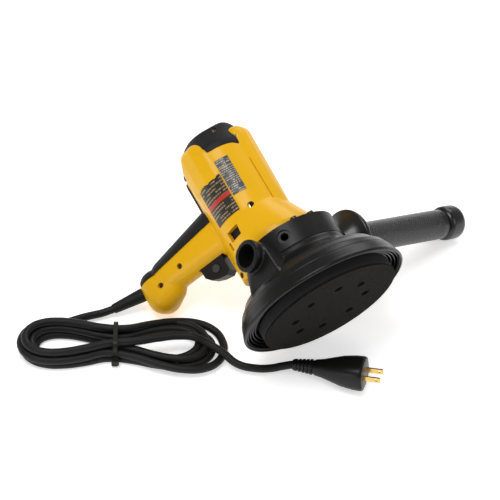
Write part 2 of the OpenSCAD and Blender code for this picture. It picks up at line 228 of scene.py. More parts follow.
@dataclass(frozen=True)
class Plastic:
    """Moulded plastic or rubber with a fine grain and faint handling marks."""

    name: str
    colour: tuple[float, float, float]
    rough: float = 0.4
    grain_per_m: float = 1500.0
    grain_mm: float = 0.05
    coat: float = 0.0
    specular: float = 0.22

    def build(self) -> bpy.types.Material:
        """Makes the material."""
        g = Graph(self.name)
        broad = g.noise(14.0, 4.0)
        fine = g.noise(self.grain_per_m, 2.0)
        r, gr, b = self.colour
        colour = g.mix(broad, rgba(r * 0.93, gr * 0.93, b * 0.93),
                       rgba(r * 1.06, gr * 1.06, b * 1.06))
        rough = self.rough + (g.noise(90.0, 5.0) - 0.5) * 0.16
        return g.finish({"Base Color": colour, "Roughness": rough, "Coat Weight": self.coat,
                         "Coat Roughness": 0.12, "Specular IOR Level": self.specular,
                         "Normal": g.bump(fine, self.grain_mm * MM, 0.35)})


@dataclass(frozen=True)
class Metal:
    """Machined or plated metal."""

    name: str
    colour: tuple[float, float, float]
    rough: float = 0.3

    def build(self) -> bpy.types.Material:
        """Makes the material."""
        g = Graph(self.name)
        r, gr, b = self.colour
        colour = g.mix(g.noise(60.0, 4.0), rgba(r * 0.9, gr * 0.88, b * 0.84), rgba(r, gr, b))
        rough = self.rough + (g.noise(400.0, 4.0) - 0.5) * 0.2
        return g.finish({"Base Color": colour, "Metallic": 1.0, "Roughness": rough,
                         "Normal": g.bump(g.noise(900.0, 3.0), 0.02 * MM, 0.3)})


@dataclass(frozen=True)
class Knurl:
    """Black moulding with rows of small pimples round an axis."""

    name: str
    axis: tuple[float, float, float]
    side: tuple[float, float, float]
    up: tuple[float, float, float]
    mid: tuple[float, float, float]
    start: float
    stop: float
    rows: float = 34.0
    pitch: float = 3.1 * MM

    def build(self) -> bpy.types.Material:
        """Makes the material."""
        g = Graph(self.name)
        offset = Vector(self.mid)
        run = g.along(self.axis) - Vector(self.axis).dot(offset)
        a = g.along(self.side) - Vector(self.side).dot(offset)
        b = g.along(self.up) - Vector(self.up).dot(offset)
        turn = g.node("ShaderNodeMath", {"operation": "ARCTAN2"}, {0: a, 1: b})
        step = run * (2 * math.pi / self.pitch)
        pimples = (turn * self.rows).sin() * step.sin()
        band = (run > self.start) * (run < self.stop)
        height = (pimples > 0.0) * pimples * band
        fine = g.bump(g.noise(1500.0, 2.0), 0.03 * MM, 0.3)
        relief = g.node("ShaderNodeBump", values={"Height": height, "Distance": 0.9 * MM,
                                                  "Strength": 0.9, "Normal": fine})
        # Colour follows the relief height: painted highlight on the pimple tops and painted shade
        # between them.
        colour = g.mix(height, rgba(0.006, 0.006, 0.006), rgba(0.016, 0.016, 0.016))
        return g.finish({"Base Color": colour, "Roughness": 0.28 + (g.noise(70.0) - 0.5) * 0.1,
                         "Normal": relief})


@dataclass(frozen=True)
class Hooks:
    """Woven hook face: fine rows of loops, with painted shade darkening the ground between them.
    """

    name: str
    ahead: tuple[float, float, float]
    side: tuple[float, float, float]
    pitch: float = 1.7 * MM

    def build(self) -> bpy.types.Material:
        """Makes the material."""
        g = Graph(self.name)
        wobble = g.noise(220.0, 2.0) * 0.0012
        u = ((g.along(self.ahead) + wobble) * (2 * math.pi / self.pitch)).sin()
        v = ((g.along(self.side) + wobble) * (2 * math.pi / (self.pitch * 0.8))).sin()
        height = (u + 1.0) * (v + 1.0) * 0.25 + g.noise(1100.0, 3.0) * 0.6
        # Colour follows the relief height: painted shade darkens the ground between the loops, and
        # the noise adds random tone.
        colour = g.mix(height, rgba(0.0008, 0.0008, 0.0007), rgba(0.022, 0.019, 0.016))
        return g.finish({"Base Color": colour, "Roughness": 0.85 + (g.noise(300.0) - 0.5) * 0.1,
                         "Specular IOR Level": 0.1, "Normal": g.bump(height, 0.7 * MM, 1.0)})


@dataclass(frozen=True)
class Plate:
    """Printed plate: a dark ground with rows of unreadable marks and a coloured band."""

    name: str
    across: tuple[float, float, float]
    upward: tuple[float, float, float]
    line_pitch: float
    band_from: float
    band_to: float
    ink: tuple[float, float, float]
    accent: tuple[float, float, float]

    def build(self) -> bpy.types.Material:
        """Makes the material."""
        g = Graph(self.name)
        u = g.along(self.across)
        v = g.along(self.upward)
        row = (v / self.line_pitch).fract()
        letters = g.node("ShaderNodeTexNoise", {"noise_dimensions": "1D"},
                         {"W": u * 900.0 + (v / self.line_pitch - row) * 37.0, "Scale": 1.0,
                          "Detail": 1.0})
        words = g.node("ShaderNodeTexNoise", {"noise_dimensions": "1D"},
                       {"W": u * 90.0 + (v / self.line_pitch - row) * 11.0, "Scale": 1.0,
                        "Detail": 0.0})
        marks = (row > 0.35) * (row < 0.8) * (letters > 0.47) * (words > 0.42)
        ground = g.mix(g.noise(60.0, 3.0), rgba(0.012, 0.01, 0.008), rgba(0.03, 0.025, 0.02))
        printed = g.mix(marks * 0.8, ground, rgba(*self.ink))
        band = (v > self.band_from) * (v < self.band_to)
        colour = g.mix(band, printed, rgba(*self.accent))
        return g.finish({"Base Color": colour, "Roughness": 0.35 + (g.noise(120.0) - 0.5) * 0.1,
                         "Normal": g.bump(marks, 0.02 * MM, 0.4)})


@dataclass(frozen=True)
class TableTop:
    """Pale, plain table under the object."""

    name: str = "pale_table"

    def build(self) -> bpy.types.Material:
        """Makes the material."""
        g = Graph(self.name)
        colour = g.mix(g.noise(2.0), rgba(0.93, 0.93, 0.93), rgba(0.96, 0.96, 0.96))
        return g.finish({"Base Color": colour, "Roughness": 0.9, "Specular IOR Level": 0.0,
                         "Emission Color": colour, "Emission Strength": 0.55})


# ---------------------------------------------------------------- the tool's own axes

class ToolAxes:
    """The tool's own axes, read back from the record's mounts.

    Z runs up the spindle from the pad face, X points away from the rear grip, Y is the left side.
    """

    HANDLE_ANGLE = math.radians(70.0)
    ORBIT = 2.4
    FACE_POINT = 60.0

    def __init__(self, mounts: Sequence[dict]) -> None:
        """Works the axes out from the pad face and the free handle thread.

        Args:
            mounts: The record's mounts.
        """
        named = {m["name"]: m for m in mounts}
        self.z = -Vector(named["pad_face"]["axis"]).normalized()
        thread = Vector(named["side_handle_thread"]["axis"]).normalized()
        self.x = (Matrix.Rotation(self.HANDLE_ANGLE, 3, self.z) @ thread).normalized()
        self.y = self.z.cross(self.x)
        face = Vector(named["pad_face"]["pos_m"])
        self.origin = face - self.x * self.ORBIT * MM - self.y * self.FACE_POINT * MM
        rows = Matrix((self.x, self.y, self.z)).transposed().to_4x4()
        self.matrix = Matrix.Translation(self.origin) @ rows @ Matrix.Scale(MM, 4)

    def along_handle(self, height: float) -> Matrix:
        """Frame whose Z runs out along the side handle at a given height."""
        turn = Matrix.Rotation(self.HANDLE_ANGLE, 4, "Z") @ Matrix.Rotation(math.pi / 2, 4, "Y")
        return self.matrix @ Matrix.Translation((0, 0, height)) @ turn


def aimed(start: Point, direction: Point) -> Matrix:
    """Frame at a point with its Z along a direction."""
    turn = Vector((0, 0, 1)).rotation_difference(Vector(direction)).to_matrix().to_4x4()
    return Matrix.Translation(Vector(start)) @ turn


# ---------------------------------------------------------------- meshes

def new_object(name: str, mesh: bpy.types.Mesh) -> bpy.types.Object:
    """Links a new object that holds a mesh."""
    thing = bpy.data.objects.new(name, mesh)
    bpy.context.scene.collection.objects.link(thing)
    return thing


def from_bmesh(name: str, shape: bmesh.types.BMesh,
               matrix: Matrix | None = None) -> bpy.types.Object:
    """Turns a bmesh into an object, moved by a matrix."""
    if matrix is not None:
        shape.transform(matrix)
    bmesh.ops.recalc_face_normals(shape, faces=shape.faces)
    mesh = bpy.data.meshes.new(name)
    shape.to_mesh(mesh)
    shape.free()
    return new_object(name, mesh)


def ball(centre: Point, radius: float, rings: int = 12) -> list[Vector]:
    """Points on a ball."""
    points = []
    for i in range(rings + 1):
        tilt = math.pi * i / rings
        for k in range(2 * rings):
            turn = math.pi * k / rings
            points.append(Vector(centre) + radius * Vector((
                math.sin(tilt) * math.cos(turn), math.sin(tilt) * math.sin(turn), math.cos(tilt))))
    return points


def disc(centre: Point, radius: float, steps: int = 64) -> list[Vector]:
    """Points on a level circle."""
    return [Vector(centre) + radius * Vector((math.cos(2 * math.pi * k / steps),
                                              math.sin(2 * math.pi * k / steps), 0))
            for k in range(steps)]


def hull(points: Sequence[Vector]) -> bmesh.types.BMesh:
    """Convex hull of points."""
    shape = bmesh.new()
    for p in points:
        shape.verts.new(p)
    made = bmesh.ops.convex_hull(shape, input=shape.verts)
    loose = [v for v in made["geom_interior"] if isinstance(v, bmesh.types.BMVert)]
    bmesh.ops.delete(shape, geom=loose, context="VERTS")
    return shape


def lathe(profile: Sequence[Point], steps: int = 96, closed: bool = False) -> bmesh.types.BMesh:
    """Turns an outline of (radius, height) round Z.

    Args:
        profile: The outline.
        steps: How many steps round.
        closed: Whether the outline's last point joins its first.

    Returns:
        The turned shape.
    """
    shape = bmesh.new()
    rings = []
    for r, z in profile:
        if r < 1e-6:
            rings.append([shape.verts.new((0, 0, z))])
        else:
            rings.append([shape.verts.new((r * math.cos(2 * math.pi * k / steps),
                                           r * math.sin(2 * math.pi * k / steps), z))
                          for k in range(steps)])
    pairs = list(zip(rings, rings[1:])) + ([(rings[-1], rings[0])] if closed else [])
    for low, high in pairs:
        for k in range(steps):
            n = (k + 1) % steps
            corners = [low[k % len(low)], low[n % len(low)],
                       high[n % len(high)], high[k % len(high)]]
            unique = list(dict.fromkeys(corners))
            if len(unique) > 2:
                shape.faces.new(unique)
    return shape


def box_shape(low: Point, high: Point) -> bmesh.types.BMesh:
    """A box between two corners."""
    return hull([Vector((x, y, z)) for x in (low[0], high[0]) for y in (low[1], high[1])
                 for z in (low[2], high[2])])


def apply_modifiers(thing: bpy.types.Object) -> None:
    """Bakes an object's modifiers into its mesh."""
    graph = bpy.context.evaluated_depsgraph_get()
    graph.update()
    mesh = bpy.data.meshes.new_from_object(thing.evaluated_get(graph))
    thing.modifiers.clear()
    old = thing.data
    thing.data = mesh
    bpy.data.meshes.remove(old)


def join_shapes(name: str, shapes: Sequence[bmesh.types.BMesh]) -> bpy.types.Object:
    """Puts several shapes into one object, without merging them."""
    whole = bmesh.new()
    for shape in shapes:
        bmesh.ops.recalc_face_normals(shape, faces=shape.faces)
        mesh = bpy.data.meshes.new("part")
        shape.to_mesh(mesh)
        shape.free()
        whole.from_mesh(mesh)
        bpy.data.meshes.remove(mesh)
    mesh = bpy.data.meshes.new(name)
    whole.to_mesh(mesh)
    whole.free()
    return new_object(name, mesh)


def fuse(name: str, shapes: Sequence[bmesh.types.BMesh], voxel: float,
         rounds: int) -> bpy.types.Object:
    """Melts shapes into one smooth body.

    Args:
        name: The object's name.
        shapes: Closed shapes that overlap.
        voxel: Voxel size in the shapes' unit.
        rounds: How many smoothing passes soften the joints.

    Returns:
        The fused object.
    """
    thing = join_shapes(name, shapes)
    remesh = thing.modifiers.new("fuse", "REMESH")
    remesh.mode = "VOXEL"
    remesh.voxel_size = voxel
    smooth = thing.modifiers.new("soften", "SMOOTH")
    smooth.factor = 0.5
    smooth.iterations = rounds
    apply_modifiers(thing)
    return thing


def carve(thing: bpy.types.Object, cutters: Sequence[bmesh.types.BMesh]) -> None:
    """Cuts shapes out of an object, one at a time."""
    for shape in cutters:
        tool = from_bmesh("cutter", shape)
        cut = thing.modifiers.new("cut", "BOOLEAN")
        cut.operation = "DIFFERENCE"
        cut.solver = "EXACT"
        cut.object = tool
        apply_modifiers(thing)
        bpy.data.objects.remove(tool)


def dress(thing: bpy.types.Object, material: bpy.types.Material, smooth_deg: float = 35.0) -> None:
    """Gives an object one material and smooth shading up to an angle."""
    thing.data.materials.clear()
    thing.data.materials.append(material)
    if thing.type == "MESH":
        thing.data.shade_smooth()
        thing.data.set_sharp_from_angle(angle=math.radians(smooth_deg))


def settle(thing: bpy.types.Object, matrix: Matrix) -> None:
    """Moves an object's mesh, and not the object, by a matrix."""
    thing.data.transform(matrix)
    thing.data.update()


# ---------------------------------------------------------------- finishes by slot

class Finishes:
    """Every finish of the object, made once."""

    def __init__(self, axes: ToolAxes) -> None:
        """Makes the materials.

        Args:
            axes: The tool's own axes.
        """
        self.yellow = Plastic("yellow_shell", (0.84, 0.45, 0.002), 0.36, 1300.0, 0.04, 0.1).build()
        self.black = Plastic("black_plastic", (0.011, 0.0105, 0.01), 0.42).build()
        self.satin = Plastic("black_satin", (0.008, 0.0078, 0.0075), 0.32, 1500.0, 0.03,
                             0.0).build()
        self.rubber = Plastic("black_rubber", (0.011, 0.011, 0.0112), 0.55, 1800.0, 0.08).build()
        self.sheath = Plastic("cord_sheath", (0.011, 0.011, 0.011), 0.5, 1200.0, 0.05).build()
        self.steel = Metal("steel", (0.62, 0.62, 0.62), 0.32).build()
        self.alloy = Plastic("painted_alloy", (0.01, 0.0098, 0.0095), 0.38, 900.0, 0.08).build()
        self.dark_steel = Metal("dark_steel", (0.1, 0.07, 0.05), 0.4).build()
        self.brass = Metal("brass", (0.83, 0.56, 0.18), 0.22).build()
        self.copper = Metal("copper_wound", (0.7, 0.36, 0.2), 0.4).build()
        self.grey = Plastic("grey_plastic", (0.05, 0.05, 0.05), 0.5).build()
        self.foam = Plastic("foam", (0.02, 0.02, 0.02), 0.85, 700.0, 0.4).build()
        self.carbon = Plastic("carbon", (0.05, 0.05, 0.05), 0.6).build()
        self.hook = Hooks("hook", tuple(axes.x), tuple(axes.y)).build()

    def for_slot(self, slot: str) -> bpy.types.Material:
        """The finish of a record slot."""
        table = {"yellow_shell": self.yellow, "black_plastic": self.black,
                 "black_rubber": self.rubber, "steel": self.steel, "alloy": self.alloy,
                 "brass": self.brass, "copper_wound": self.copper, "grey_plastic": self.grey,
                 "foam": self.foam, "hook": self.hook, "carbon": self.carbon,
                 "label": self.black, "dark_steel": self.dark_steel}
        return table[slot]


def present(thing: bpy.types.Object, body: str, nodes: Sequence[str] = ()) -> None:
    """Tells the frame what a new piece rides on and stands for."""
    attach(thing, body)
    if nodes:
        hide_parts(*nodes)
    LOG.info("piece %s rides on %s", thing.name, body)


# ---------------------------------------------------------------- camera, light, floor

@dataclass
class Studio:
    """Camera, soft lights and a pale table."""

    target: Vector = field(default_factory=lambda: Vector((-0.0490, -0.0441, 0.1263)))
    azimuth_deg: float = 1.94
    elevation_deg: float = 43.63
    roll_deg: float = 1.81
    distance: float = 2.467

    def camera(self) -> None:
        """Adds the camera and makes it the scene's."""
        a, e = math.radians(self.azimuth_deg), math.radians(self.elevation_deg)
        look = Vector((math.sin(a) * math.cos(e), math.cos(a) * math.cos(e), -math.sin(e)))
        data = bpy.data.cameras.new("camera")
        data.sensor_width = SENSOR_MM
        data.lens = LENS_MM
        data.clip_end = 20.0
        thing = bpy.data.objects.new("camera", data)
        turn = look.to_track_quat("-Z", "Y").to_matrix().to_4x4()
        roll = Matrix.Rotation(math.radians(self.roll_deg), 4, "Z")
        thing.matrix_world = Matrix.Translation(self.target - look * self.distance) @ turn @ roll
        bpy.context.scene.collection.objects.link(thing)
        bpy.context.scene.camera = thing

    def lights(self) -> None:
        """Adds the area lights and a soft sky."""
        for name, place, size, power in (("key", (-0.5, -0.3, 1.9), 0.9, 17.0),
                                         ("fill", (1.6, -0.6, 1.0), 1.0, 6.0),
                                         ("rim", (0.5, 1.6, 1.3), 1.2, 14.0),
                                         ("low", (-1.3, -1.5, 0.5), 0.8, 5.0)):
            data = bpy.data.lights.new(name, "AREA")
            data.size = size
            data.energy = power
            thing = bpy.data.objects.new(name, data)
            aim = Vector((0, 0, 0.08)) - Vector(place)
            thing.matrix_world = (Matrix.Translation(Vector(place))
                                  @ aim.to_track_quat("-Z", "Y").to_matrix().to_4x4())
            bpy.context.scene.collection.objects.link(thing)
        world = bpy.data.worlds.new("sky")
        world.use_nodes = True
        world.node_tree.nodes["Background"].inputs[0].default_value = (1, 1, 1, 1)
        world.node_tree.nodes["Background"].inputs[1].default_value = 0.32
        bpy.context.scene.world = world
        bpy.context.scene.view_settings.view_transform = "Standard"

    def table(self) -> None:
        """Adds the table top."""
        half = 6.0
        mesh = bpy.data.meshes.new("table")
        mesh.from_pydata([(-half, -half, 0), (half, -half, 0), (half, half, 0), (-half, half, 0)],
                         [], [(0, 1, 2, 3)])
        thing = new_object("table", mesh)
        dress(thing, TableTop().build())


# ---------------------------------------------------------------- the power cord

@dataclass
class PowerCord:
    """The cord from the guard, through the hank, to the plug, all in millimetres on the table."""

    finishes: Finishes
    radius: float = 4.3
    tip: tuple[float, float, float] = (-192.0, -14.0, 8.5)
    hank: tuple[float, float] = (-188.0, -67.0)
    plug_tail: tuple[float, float, float] = (-2.0, -96.0, 11.0)
    plug_dir: tuple[float, float, float] = (1.0, -0.3, 0.13)
    plug_len: float = 78.0
    turns: int = 5
    per_turn: int = 24

    def winding(self) -> list[Vector]:
        """Points along the hank's turns, which pinch together at the tie."""
        # Each turn's lane and layer at the tie, reach and bow to the left, the same to the
        # right, and how far its right loop sinks to the table
        turns = ((1.0, 0.0, 95, 33, 103, 38, 0.12), (0.0, 0.0, 84, 30, 87, 35, 0.12),
                 (0.0, 1.0, 89.5, 35, 94, 41, 0.12), (1.0, 1.0, 101, 38, 113, 54, 0.95),
                 (0.45, 2.0, 95, 35, 95, 41, 0.12))
        points = []
        for i in range(3, self.turns * self.per_turn - 12):
            angle = math.radians(100.0) + 2 * math.pi * i / self.per_turn
            turn, part = divmod(i / self.per_turn, 1.0)
            here, after = turns[int(turn)], turns[min(int(turn) + 1, len(turns) - 1)]
            lane = here[0] + (after[0] - here[0]) * ease(part, 0.58, 0.92)
            layer = here[1] + (after[1] - here[1]) * ease(part, 0.5, 0.7)
            reach, spread, sink = (*here[2:4], 0.12) if math.cos(angle) < 0 else here[4:]
            bow = abs(math.cos(angle)) ** 1.15
            wave = 1.4 * bow * math.sin(0.31 * i)
            points.append(Vector((
                self.hank[0] + (reach + wave) * math.cos(angle),
                self.hank[1] + (4.6 + 8.9 * lane + spread * bow + wave) * math.sin(angle),
                self.radius + 0.1 + 8.7 * layer * (1 - sink * bow))))
        return points

    def route(self) -> list[Vector]:
        """The whole route."""
        lead = [Vector(p) for p in (self.tip, (-204, -18, 6.5), (-216, -22, 6.5), (-228, -27, 7))]
        over = [Vector(p) for p in ((-165, -74, 21.8), (-142, -69, 21.8), (-122, -66, 21.8),
                                    (-105, -67, 21))]
        tail = [Vector(p) for p in ((-90, -72, 16), (-76, -82, 14), (-60, -95, 10), (-42, -99, 8),
                                    (-26, -99, 8), (-13, -97, 9.3), self.plug_tail)]
        return lead + self.winding() + over + tail

    def build(self) -> bpy.types.Object:
        points = self.route()
        data = bpy.data.curves.new("cord", "CURVE")
        data.dimensions = "3D"
        data.bevel_depth = self.radius * MM
        data.bevel_resolution = 5
        data.resolution_u = 6
        data.use_fill_caps = True
        line = data.splines.new("BEZIER")
        line.bezier_points.add(len(points) - 1)
        for knot, p in zip(line.bezier_points, points):
            knot.co = p * MM
            knot.handle_left_type = knot.handle_right_type = "AUTO"
        thing = bpy.data.objects.new("cord", data)
        bpy.context.scene.collection.objects.link(thing)
        data.materials.append(self.finishes.sheath)
        present(thing, "tool", ("cord_lead", "cord_hank", "cord_tail"))
        return thing

    def measure(self, thing: bpy.types.Object) -> float:
        """The curve's length in metres."""
        bpy.context.view_layer.update()
        return thing.data.splines[0].calc_length()

    def plug(self) -> bpy.types.Object:
        """The moulded plug: ribbed relief and a body that flares to a squarish face."""
        shape = bmesh.new()
        steps = 48
        outline = [(0.0, 5.4, 0.0), (1.0, 6.0, 0.0)]
        for k in range(5):
            z = 2.0 + 3.4 * k
            grow = 0.45 * k
            outline += [(z, 6.3 + grow, 0.1), (z + 1.9, 6.4 + grow, 0.1),
                        (z + 2.1, 5.2 + grow, 0.1), (z + 3.1, 5.2 + grow, 0.1)]
        outline += [(20, 8.2, 0.2), (26, 9.4, 0.25), (34, 12.0, 0.3), (44, 15.2, 0.4),
                    (54, 16.8, 0.5), (60, 17.2, 0.5), (62.4, 17.0, 0.5), (63.6, 16.2, 0.5),
                    (64.0, 14.8, 0.5)]
        drawn_len = outline[-1][0]
        rings = []
        for z, r, square in outline:
            ring = []
            for k in range(steps):
                a = 2 * math.pi * k / steps
                power = 1 + square
                reach = (abs(math.cos(a)) ** (2 * power) + abs(math.sin(a)) ** (2 * power)) ** (
                    -1 / (2 * power))
                wide = 1.0 - 0.16 * square
                ring.append(shape.verts.new((r * reach * math.cos(a) * wide,
                                             r * reach * math.sin(a),
                                             z * self.plug_len / drawn_len)))
            rings.append(ring)
        for low, high in zip(rings, rings[1:]):
            for k in range(steps):
                n = (k + 1) % steps
                shape.faces.new((low[k], low[n], high[n], high[k]))
        shape.faces.new(rings[0][::-1])
        shape.faces.new(rings[-1])
        direction = Vector(self.plug_dir)
        yaw = math.atan2(direction.y, direction.x)
        tilt = math.atan2(math.hypot(direction.x, direction.y), direction.z)
        where = (Matrix.Scale(MM, 4) @ Matrix.Translation(Vector(self.plug_tail))
                 @ Matrix.Rotation(yaw, 4, "Z") @ Matrix.Rotation(tilt, 4, "Y"))
        thing = from_bmesh("plug", shape, where)
        dress(thing, self.finishes.satin, 40)
        present(thing, "tool", ("plug_body",))
        return thing

    def tie(self) -> bpy.types.Object:
        """The strap round the waist of the hank, with its ratchet head in front."""
        half, top, low = 18.2, 26.8, 0.3
        corners = []
        for cy, cz, start in ((half - 7, top - 7, 0), (-half + 7, top - 7, 90),
                              (-half + 7, low + 7, 180), (half - 7, low + 7, 270)):
            for step in range(7):
                a = math.radians(start + 15 * step)
                corners.append((cy + 8 * math.cos(a), max(cz + 8 * math.sin(a), 0.9)))
        shape = bmesh.new()
        rings = []
        for y, z in corners:
            away = Vector((0, y, z - (top + low) / 2)).normalized()
            middle = Vector((0, y, z))
            rings.append([shape.verts.new(middle + Vector((dx, 0, 0)) + away * d)
                          for dx, d in ((-2.3, -0.6), (2.3, -0.6), (2.3, 0.6), (-2.3, 0.6))])
        for i, ring in enumerate(rings):
            nxt = rings[(i + 1) % len(rings)]
            for k in range(4):
                n = (k + 1) % 4
                shape.faces.new((ring[k], ring[n], nxt[n], nxt[k]))
        head = box_shape((-4, -half - 8, 2), (4, -half - 1, 11))
        bmesh.ops.bevel(head, geom=head.edges[:], offset=0.8, segments=2, affect="EDGES")
        thing = join_shapes("cable_tie", [shape, head])
        settle(thing, Matrix.Scale(MM, 4) @ Matrix.Translation((*self.hank, 0)))
        dress(thing, self.finishes.black)
        present(thing, "tool", ("cable_tie",))
        return thing


# ---------------------------------------------------------------- the housing

@dataclass
class Housing:
    """The two yellow shells with the soft cap and sleeve, in the tool's own millimetres."""

    axes: ToolAxes
    finishes: Finishes
    motor_x: float = -22.0
    barrel_r: float = 40.0
    cap_z: float = 206.0
    top_z: float = 241.0
    foot_x: float = -156.0
    grip_r: float = 17.0

    def barrel(self, grow: float, low: float, high: float) -> bmesh.types.BMesh:
        """Barrel with its front and rear spines."""
        points = []
        for z in (low, high):
            points += disc((self.motor_x, 0, z), self.barrel_r + grow)
            points += disc((self.motor_x + self.barrel_r - 11, 0, z), 15 + grow)
            points += disc((self.motor_x - self.barrel_r + 10, 0, z), 15 + grow)
        return hull(points)

    def grip(self, grow: float) -> bmesh.types.BMesh:
        """The straight part of the rear grip."""
        points = []
        for p in ((-64, 0, 153), (-64, 0, 133), (self.foot_x + 16, 0, 141),
                  (self.foot_x + 16, 0, 135)):
            points += ball(p, self.grip_r + grow)
        return hull(points)

    def foot(self, grow: float = 0.0) -> bmesh.types.BMesh:
        """The bulge at the end of the grip."""
        points = []
        for p in ((self.foot_x - 1, -2, 139), (self.foot_x, -3, 122), (self.foot_x, 3, 122),
                  (self.foot_x + 12, 0, 126)):
            points += ball(p, self.grip_r + grow)
        return hull(points)

    def slot(self, angle: float, low: float, high: float, width: float) -> bmesh.types.BMesh:
        """A cooling slot that runs up the barrel."""
        shape = hull(disc((0, 0, -30), width / 2, 16) + disc((high - low, 0, -30), width / 2, 16)
                     + disc((0, 0, 30), width / 2, 16) + disc((high - low, 0, 30), width / 2, 16))
        turn = Matrix.Rotation(math.radians(angle), 4, "Z") @ Matrix.Rotation(-math.pi / 2, 4, "Y")
        shape.transform(Matrix.Translation((self.motor_x, 0, low)) @ turn
                        @ Matrix.Translation((0, 0, -64)))
        return shape

    def lobes(self, grow: float = 0.0) -> list[bmesh.types.BMesh]:
        """The front spine and the two vented lobes, which run up into the cap."""
        shapes = [hull([p for y in (-4, 4) for p in ball((9, y, 110), 12 + grow)
                        + ball((10.5, y, 213), 12.5 + grow)])]
        for side in (edge.value for edge in Side):
            points = []
            for turn, high in ((86, 207), (102, 216), (124, 217), (142, 209)):
                c, s = math.cos(math.radians(turn)), side * math.sin(math.radians(turn))
                for z in (180, high):
                    points += ball((self.motor_x + 31.2 * c, 31.2 * s, z), 10 + grow)
            shapes.append(hull(points))
        return shapes

    def shells(self) -> None:
        """The two yellow halves, parted along the tool's middle plane."""
        bell = hull(disc((-10, 0, 87), 46) + disc((-10, 0, 95), 46)
                    + disc((self.motor_x, 0, 130), self.barrel_r))
        heel = hull(disc((-44, 0, 74), 22) + disc((-44, 0, 94), 22) + disc((-46, 0, 128), 20))
        body = fuse("housing", [self.barrel(0, 95, self.cap_z), bell, heel, self.grip(0),
                                self.foot(), *self.lobes()], 1.2, 5)
        cuts, shade_sheets = [], []
        for side in (edge.value for edge in Side):
            for step in range(4):
                low, high = (182, 182, 188, 196)[step], (214, 216, 215, 211)[step]
                cuts.append(self.slot(side * (96 + 13 * step), low, high, 3.8))
            # Windows over the fan: turn about the motor, half width, bottom and top
            for turn, half, low, high in ((105, 9, 109, 121), (126, 2.2, 103, 112)):
                # Each window is cut, and a black sheet at its bottom is painted shade for the dark
                # inside behind it.
                for near, far, group in ((30, 60, cuts), (29.5, 34, shade_sheets)):
                    window = box_shape((near, -half, low), (far, half, high))
                    window.transform(Matrix.Translation((self.motor_x, 0, 0))
                                     @ Matrix.Rotation(math.radians(side * turn), 4, "Z"))
                    group.append(window)
            for x, z, r in ((-2, 131, 3.4), (-36, 99, 2.0)):
                hole = hull(disc((0, 0, 0), r, 24) + disc((0, 0, 40), r, 24))
                # The black disc at the bottom of each side hole is painted shade for the dark
                # inside the hole.
                floor = hull(disc((0, 0, -1), r + 0.4, 24) + disc((0, 0, 0.4), r + 0.4, 24))
                for shape, group in ((hole, cuts), (floor, shade_sheets)):
                    shape.transform(Matrix.Translation((x, side * 31, z))
                                    @ Matrix.Rotation(side * -math.pi / 2, 4, "X"))
                    group.append(shape)
            groove = hull(ball((15, side * 14.2, 118), 1.3, 6)
                          + ball((15, side * 14.2, 212), 1.3, 6))
            cuts.append(groove)
        cuts.append(box_shape((-102, -8.4, 90), (-68, 8.4, 124)))
        collar = lathe([(0, 60), (52.3, 60), (52.3, 87.2), (0, 87.2)], 96)
        cuts.append(collar)
        for x, z in ((self.foot_x + 11, 130), (self.foot_x + 41, 134), (-58, 82)):
            hole = hull(disc((0, 0, 12.2), 3.2, 24) + disc((0, 0, 60), 3.2, 24))
            hole.transform(Matrix.Translation((x, 0, z)) @ Matrix.Rotation(math.pi / 2, 4, "X"))
            cuts.append(hole)
        carve(body, cuts)
        for edge in Side:
            side, node = edge.value, f"housing_{edge.name.lower()}"
            half = bmesh.new()
            half.from_mesh(body.data)
            bmesh.ops.bisect_plane(half, geom=half.verts[:] + half.edges[:] + half.faces[:],
                                   plane_co=(0, side * 0.12, 0), plane_no=(0, -side, 0),
                                   clear_outer=True)
            bmesh.ops.holes_fill(half, edges=[e for e in half.edges if e.is_boundary])
            shell = from_bmesh(f"{node}_shell", half, self.axes.matrix)
            dress(shell, self.finishes.yellow, 50)
            present(shell, "tool", (node,))
        bpy.data.objects.remove(body)
        # The black sheets at the bottoms of the windows and holes are painted shade.
        shade_sheet = join_shapes("painted_shade_sheets", shade_sheets)
        settle(shade_sheet, self.axes.matrix)
        dress(shade_sheet, self.finishes.black)
        present(shade_sheet, "tool")

    def cap(self) -> None:
        """The soft end cap over the top of the motor."""
        z, m = self.cap_z, self.motor_x
        crown = hull([p for x in (m - 20, m + 18) for p in ball((x, 0, self.top_z - 16), 16)]
                     + disc((m, 0, z + 6), 40) + disc((m, 0, self.top_z - 6), 25)
                     + disc((m + 29, 0, z + 4), 15) + disc((m - 30, 0, z + 6), 15)
                     + disc((m, 0, z - 1), 40.4) + disc((m + 29, 0, z - 14), 14.6))
        cap = fuse("end_cap_shell", [crown], 1.2, 8)
        notches = []
        for angle in (-110, -70, 70, 110):
            c, s = math.cos(math.radians(angle)), math.sin(math.radians(angle))
            notches.append(hull(ball((m + 44 * c, 44 * s, z + 24), 9)
                                + ball((m + 46 * c, 46 * s, z + 50), 12)))
        for angle in (45, 135, 225, 315):
            c, s = math.cos(math.radians(angle)), math.sin(math.radians(angle))
            notches.append(hull(disc((m + 27 * c, 27 * s, z + 20), 4.2, 24)
                                + disc((m + 27 * c, 27 * s, z + 60), 4.2, 24)))
        carve(cap, notches + self.lobes(0.5))
        settle(cap, self.axes.matrix)
        dress(cap, self.finishes.rubber, 50)
        present(cap, "tool", ("end_cap",))

